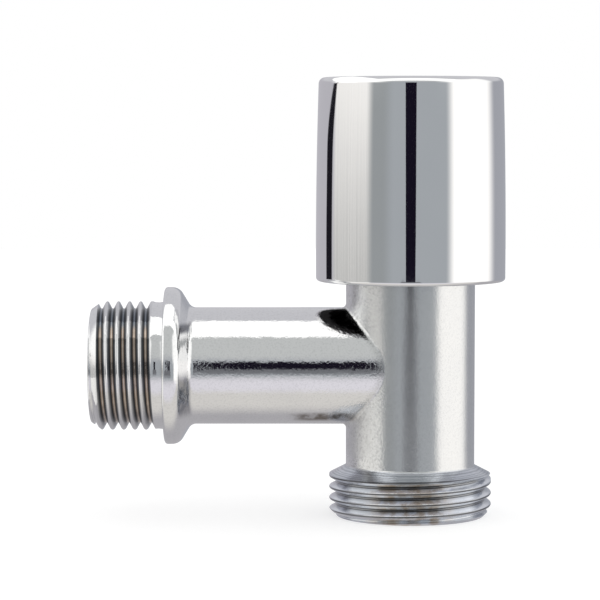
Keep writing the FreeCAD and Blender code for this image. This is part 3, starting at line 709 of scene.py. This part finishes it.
def body_colour(finish, across_stem, noises, cut, skin):
    """Colours of the body, from the plating up to what lies on it, with painted shade and reflections in the
    threads.
    """
    blotch = noises.blotch
    bright = finish.blend(noises.cloud, colour(0.79, 0.79, 0.80), colour(0.86, 0.86, 0.86))
    satin = finish.blend(noises.cloud, colour(0.70, 0.705, 0.71), colour(0.77, 0.77, 0.76))
    rings = finish.ramp(finish.streaks(across_stem * 3.0 + blotch, 3.0), 0.48, 0.62)
    machined = finish.blend(blotch, colour(0.48, 0.51, 0.56), colour(0.70, 0.73, 0.78))
    machined = finish.blend(rings * 0.55, machined, colour(0.26, 0.275, 0.31))
    cut_metal = finish.blend(blotch, colour(0.70, 0.73, 0.78), colour(0.88, 0.90, 0.94))
    tan = finish.blend(blotch, colour(0.30, 0.26, 0.23), colour(0.67, 0.59, 0.52))
    # Painted dark reflection: towards the top of the branch the roots turn dark blue-grey instead of brass
    # tan
    tan = finish.blend(finish.ramp(finish.z, 6.2, 7.4), tan, colour(0.25, 0.27, 0.30))
    # Dark brown to blue-grey for the crease where the flange meets the branch
    crease_dark = finish.blend(blotch, colour(0.13, 0.115, 0.105), colour(0.38, 0.40, 0.44))
    return finish.layers(bright, [
        (skin.upright, satin),
        (0.2 * finish.ramp(noises.fine, 0.45, 0.70), colour(0.52, 0.52, 0.53)),
        (skin.near_tee * noises.crust * 0.4, colour(0.36, 0.36, 0.35)),
        (skin.stain * (0.35 + 0.6 * noises.patch), colour(0.15, 0.12, 0.09)),
        (cut.outlet, machined),
        (cut.thread, cut_metal),
        # Painted shade with dirt: the inlet thread a little darker, its flanks much darker towards the root
        (0.12 * cut.inlet + cut.inlet_flank_shade_and_dirt * 0.8, colour(0.10, 0.105, 0.115)),
        # Brass tan in the inlet roots, with the painted dark reflection near the top
        (cut.inlet_root, tan),
        # Darker in the crease where the flange meets the branch
        (skin.crease * (0.55 + 0.4 * noises.patch), crease_dark),
        # Painted shade on the outlet thread's upward-facing flanks
        (cut.outlet_flank_shade * 0.5, colour(0.25, 0.255, 0.27)),
        (cut.outlet_front * cut.thread * noises.patch * 0.75, colour(0.46, 0.39, 0.31)),
        # Painted dark reflection along the outlet thread's crests
        (cut.outlet_crest_reflection * 0.85, colour(0.06, 0.06, 0.065)),
        # Painted shade in the outlet thread's roots, deeper at the front
        (cut.outlet_root_shade * (0.6 + 0.2 * cut.outlet_front), colour(0.07, 0.067, 0.063)),
    ])


def body_plating():
    """Bright plating over a cast skin, dull where the threads were cut through it."""
    finish = Finish("body_plating")
    across_branch = finish.distance(finish.y, finish.z)
    across_stem = finish.distance(finish.x - STEM_X, finish.y)
    noises = body_noises(finish)
    cut = thread_masks(finish, across_branch, across_stem)
    skin = skin_masks(finish, across_branch, across_stem)
    base = body_colour(finish, across_stem, noises, cut, skin)
    roughness = 0.045 + 0.03 * noises.cloud + 0.15 * skin.upright + 0.05 * cut.outlet + 0.07 * cut.thread
    roughness = roughness + 0.03 * cut.inlet_flank_shade_and_dirt + 0.15 * skin.tee_foot
    cast = 0.7 + 0.3 * skin.near_flange + 0.7 * skin.tee_foot + 0.9 * skin.tee_top
    cast = cast - 0.3 * skin.upright - 0.4 * skin.flange
    sand = noises.fine * (0.15 + 0.2 * skin.upright + 0.55 * skin.beside_tee + 0.7 * skin.tee_foot)
    height = noises.grain * cast + sand + 1.5 * noises.cloud - 0.6 * skin.near_tee * noises.crust
    return finish.close(base, roughness, 1.0, height, 0.030)


def bore_metal():
    """Bare brass inside the waterway."""
    finish = Finish("bore_metal")
    cloud = finish.noise(finish.place, 0.4, 3.0)
    base = finish.blend(cloud, colour(0.60, 0.44, 0.22), colour(0.72, 0.56, 0.32))
    return finish.close(base, 0.32 + 0.15 * cloud, 1.0, cloud, 0.02)


def knob_plating():
    """Mirror plating of the knob and its cap."""
    finish = Finish("knob_plating")
    cloud = finish.noise(finish.place, 0.12, 1.0)
    haze = finish.noise(finish.place, 1.1, 2.0)
    base = finish.blend(cloud, colour(0.82, 0.82, 0.83), colour(0.86, 0.86, 0.86))
    return finish.close(base, 0.025 + 0.02 * haze, 1.0, cloud, 0.01)


def knob_casting_painted_shade():
    """Dull raw casting inside the hollow knob, with painted shade that makes it near black."""
    finish = Finish("knob_casting_painted_shade")
    cloud = finish.noise(finish.place, 0.8, 4.0)
    base = finish.blend(cloud, colour(0.020, 0.019, 0.021), colour(0.042, 0.041, 0.042))
    return finish.close(base, 0.5 + 0.2 * cloud, 0.0, cloud, 0.03, **{"Specular IOR Level": 0.15})


def turned_brass():
    """Turned brass with fine tool marks round the stem."""
    finish = Finish("turned_brass")
    across = finish.distance(finish.x - STEM_X, finish.y)
    marks = finish.streaks(finish.z * 5.0 + across * 3.0)
    cloud = finish.noise(finish.place, 0.5)
    base = finish.blend(cloud, colour(0.66, 0.49, 0.24), colour(0.76, 0.60, 0.33))
    return finish.close(base, 0.24 + 0.16 * marks, 1.0, marks, 0.006)


def spring_steel():
    """Rolled steel of screw, clip and washers."""
    finish = Finish("spring_steel")
    cloud = finish.noise(finish.place, 1.4, 3.0)
    base = finish.blend(cloud, colour(0.46, 0.46, 0.47), colour(0.60, 0.60, 0.61))
    return finish.close(base, 0.28 + 0.2 * cloud, 1.0, cloud, 0.01)


def disc_ceramic():
    """Lapped off-white ceramic with a faint speckle."""
    finish = Finish("disc_ceramic")
    speckle = finish.noise(finish.place, 4.0, 3.0)
    base = finish.blend(speckle, colour(0.84, 0.82, 0.78), colour(0.93, 0.92, 0.89))
    return finish.close(base, 0.22 + 0.15 * speckle, 0.0, speckle, 0.004)


def seal_rubber():
    """Black rubber with a dusty bloom."""
    finish = Finish("seal_rubber")
    bloom = finish.noise(finish.place, 1.2, 4.0)
    base = finish.blend(bloom, colour(0.016, 0.016, 0.017), colour(0.05, 0.05, 0.05))
    return finish.close(base, 0.55 + 0.25 * bloom, 0.0, bloom, 0.02)


def slip_plastic():
    """Pale moulded plastic of insert and slip washers."""
    finish = Finish("slip_plastic")
    mottle = finish.noise(finish.place, 1.6, 3.0)
    base = finish.blend(mottle, colour(0.78, 0.77, 0.73), colour(0.88, 0.87, 0.83))
    return finish.close(base, 0.42 + 0.15 * mottle, 0.0, mottle, 0.01)


def put_on(thing, body, slot, node, *materials):
    """Gives a finished piece its materials, body and the solid that it stands for; its slot is not used."""
    for material in materials:
        thing.data.materials.append(material)
    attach(thing, body)
    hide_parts(node)


def line_bores(body):
    """Sets the second material on the faces of the waterway."""
    upright_reach = RING_SEAT_RADIUS + FACE_PICK
    branch_reach = BRANCH_BORE_RADIUS + BORE_CHAMFER + FACE_PICK
    for face in body.data.polygons:
        x, y, z = (part / MM for part in face.center)
        across = math.hypot(x - STEM_X, y)
        in_upright = across < upright_reach and OUTLET_END < z < UPRIGHT_TOP - FACE_PICK
        in_branch = math.hypot(y, z) < branch_reach and INLET_END < x < STEM_X
        face.material_index = 1 if in_upright or in_branch else 0


def line_hollow(knob):
    """Sets the second material on the faces inside the knob, but for the cap's recess."""
    for face in knob.data.polygons:
        x, y, z = (part / MM for part in face.center)
        across = math.hypot(x - STEM_X, y)
        in_recess = across < RECESS_RADIUS + FACE_PICK and z > RECESS_FLOOR - FACE_PICK
        inside = across < CAVITY_RADIUS + FACE_PICK and z < KNOB_TOP - FACE_PICK
        underside = z < KNOB_RIM + FACE_PICK
        face.material_index = 1 if underside or inside and not in_recess else 0


def build_valve():
    """Makes every visible piece and gives the inner solids their finishes."""
    plating = body_plating()
    mirror = knob_plating()
    body = make_body()
    put_on(body, "valve", "plated_body", "valve_body", plating, bore_metal())
    line_bores(body)
    knob = make_knob()
    put_on(knob, "handle", "polished_knob", "handle_knob", mirror, knob_casting_painted_shade())
    line_hollow(knob)
    put_on(make_cap(), "handle", "polished_knob", "top_cap", mirror)
    finishes = {
        "plated_body": plating,
        "polished_knob": mirror,
        "headwork_brass": turned_brass(),
        "spring_steel": spring_steel(),
        "disc_ceramic": disc_ceramic(),
        "seal_rubber": seal_rubber(),
        "slip_plastic": slip_plastic(),
    }
    for part in frame["record"]["subparts"]:
        node = frame["nodes"][part["node"]]
        node.data.materials.clear()
        node.data.materials.append(finishes[part["material_slot"]])


def studio_colour(graph):
    """What the plating shows of the studio: lit sides, grey walls, a pale table and one dark gap."""
    dx, dy, dz = graph.split(graph.node("ShaderNodeTexCoord", output="Generated"))
    # Directions in degrees: round the valve from the front, up from level, and over from front to back
    degrees = 180 / math.pi
    bearing = dx.math("ARCTAN2", dx, -dy) * degrees
    rise = dz.math("ARCSINE") * degrees
    over = dz.math("ARCTAN2", dz, -dy) * degrees
    aside = bearing.math("ABSOLUTE")
    wall = graph.fades(over, colour(0.46, 0.45, 0.47), [
        (-115, -75, colour(0.74, 0.72, 0.69)),
        (-55, -40, colour(0.82, 0.80, 0.85)),
        (-30, -8, colour(0.50, 0.51, 0.53)),
        (10, 26, colour(0.60, 0.615, 0.61)),
        (60, 100, colour(0.64, 0.64, 0.67)),
    ])
    folds = graph.ramp(graph.streaks(bearing * 1.5), 0.42, 0.66)
    left_light = graph.fades(rise, colour(0.50, 0.50, 0.49), [(-5, 6, colour(1.05, 1.03, 1.0))])
    left_light = graph.blend(folds * 0.4, left_light, colour(1.2, 1.17, 1.13))
    level = graph.fades(bearing, left_light, [
        (-60, -48, colour(0.34, 0.36, 0.37)),
        (-38, -22, colour(0.41, 0.435, 0.46)),
        (40, 54, colour(1.3, 1.28, 1.25)),
        (101, 123, colour(0.40, 0.41, 0.45)),
        (-106, -114, colour(0.52, 0.51, 0.55)),
    ])
    soft_boxes = graph.ramp(aside, 25, 50) * graph.band(rise, 8, 44, 10) * graph.ramp(aside, 125, 105)
    lean = graph.ramp(rise, 0.5, 4.5)
    from_gap = (bearing + 120 - 14 * lean).math("ABSOLUTE")
    gap = graph.ramp(from_gap - 6.5 + 5 * lean, 0.8, -0.8) * graph.band(rise, -4.4, 6.5, 1.0)
    return graph.layers(wall, [
        (graph.band(rise, -16, 14, 12), level),
        (soft_boxes, colour(1.2, 1.2, 1.18)),
        (gap, colour(0.012, 0.011, 0.016)),
    ])


def light_studio():
    """White all round, but for the plating, which mirrors the studio."""
    world = bpy.data.worlds.new("studio")
    bpy.context.scene.world = world
    graph = Graph(world)
    camera, glossy, through = (
        graph.node("ShaderNodeLightPath", output=name)
        for name in ("Is Camera Ray", "Is Glossy Ray", "Is Transmission Ray")
    )
    white = graph.blend(glossy, colour(1, 1, 1), studio_colour(graph))
    seen = camera.math("MAXIMUM", camera, glossy.math("MAXIMUM", glossy, through))
    shown = graph.blend(seen, colour(0.9, 0.9, 0.9), white)
    light = graph.node("ShaderNodeBackground", inputs={"Color": shown, "Strength": 1.0})
    graph.node("ShaderNodeOutputWorld", inputs={"Surface": light})


def hang_card(name, corners, tint, fade=None):
    """A studio card that shows only in the plating, and may fade out between two heights."""
    bm = bmesh.new()
    bm.faces.new([bm.verts.new(corner) for corner in corners])
    card = new_object(bm, name)
    finish = Finish(name)
    shader = finish.glow(tint)
    if fade:
        share = finish.ramp(finish.z, *fade)
        clear = finish.node("ShaderNodeBsdfTransparent")
        shader = finish.node("ShaderNodeMixShader", inputs={0: share, 1: shader, 2: clear})
    card.data.materials.append(finish.end(shader))
    card.visible_camera = False
    card.visible_diffuse = False
    card.visible_shadow = False
    card.visible_transmission = False


def upright_card(name, distance, foot, top, tint, fade=None):
    """A card that stands in front of the valve; foot and top are left end, right end and height."""
    corners = [(foot[0], foot[2]), (foot[1], foot[2]), (top[1], top[2]), (top[0], top[2])]
    hang_card(name, [(x, -distance, z) for x, z in corners], tint, fade)


def level_card(name, left, right, front, back, tint):
    """A card that lies level over the valve."""
    corners = [(left, front), (right, front), (right, back), (left, back)]
    hang_card(name, [(x, y, PANEL_HEIGHT) for x, y in corners], tint)


def hang_cards():
    """The dark camera with its stand, a panel low at the left, and the panels over branch and knob."""
    lamp = colour(1.35, 1.35, 1.33)
    upright_card("camera_shade", 430, (-20, 64, -16.5), (-29, 73, 90), colour(0.008, 0.006, 0.014))
    upright_card(
        "camera_stand", 432, (-90, 134, -125), (-60, 105, -16), colour(0.18, 0.185, 0.20),
        fade=(-60, -120),
    )
    low_corners = [(-100, -110, -70), (-100, 30, -70), (-100, 30, -20), (-100, -110, -20)]
    hang_card("low_panel", low_corners, colour(1.0, 0.99, 0.96))
    level_card("branch_panel", -60, 28, -34, 7, lamp)
    level_card("knob_panel", 28, 120, -34, -17, lamp)


def lay_floor():
    """A pale floor that keeps a soft shadow."""
    bm = bmesh.new()
    bmesh.ops.create_circle(bm, cap_ends=True, segments=64, radius=FLOOR_RADIUS)
    bmesh.ops.translate(bm, vec=(STEM_X, 0, OUTLET_END - FLOOR_GAP), verts=bm.verts)
    floor = new_object(bm, "floor")
    finish = Finish("floor_paper")
    matte = finish.node("ShaderNodeBsdfDiffuse", inputs={"Color": colour(0.6, 0.6, 0.6)})
    camera = finish.node("ShaderNodeLightPath", output="Is Camera Ray")
    lift = finish.glow(finish.blend(camera, colour(0, 0, 0), colour(0.55, 0.55, 0.55)))
    paper = finish.node("ShaderNodeAddShader", inputs={0: matte, 1: lift})
    floor.data.materials.append(finish.end(paper))
    floor.visible_glossy = False


def set_camera():
    """The photograph's view: from the front, a little above the branch."""
    camera = bpy.data.cameras.new("front_view")
    camera.sensor_width = SENSOR_WIDTH
    camera.lens = LENS
    camera.clip_start = 0.01
    viewer = bpy.data.objects.new("front_view", camera)
    viewer.location = Vector(VIEW_FROM) * MM
    aim = Vector(VIEW_TO) * MM
    viewer.rotation_euler = (aim - viewer.location).to_track_quat("-Z", "Y").to_euler()
    bpy.context.scene.collection.objects.link(viewer)
    bpy.context.scene.camera = viewer


bpy.context.scene.view_settings.view_transform = "Standard"
build_valve()
light_studio()
hang_cards()
lay_floor()
set_camera()
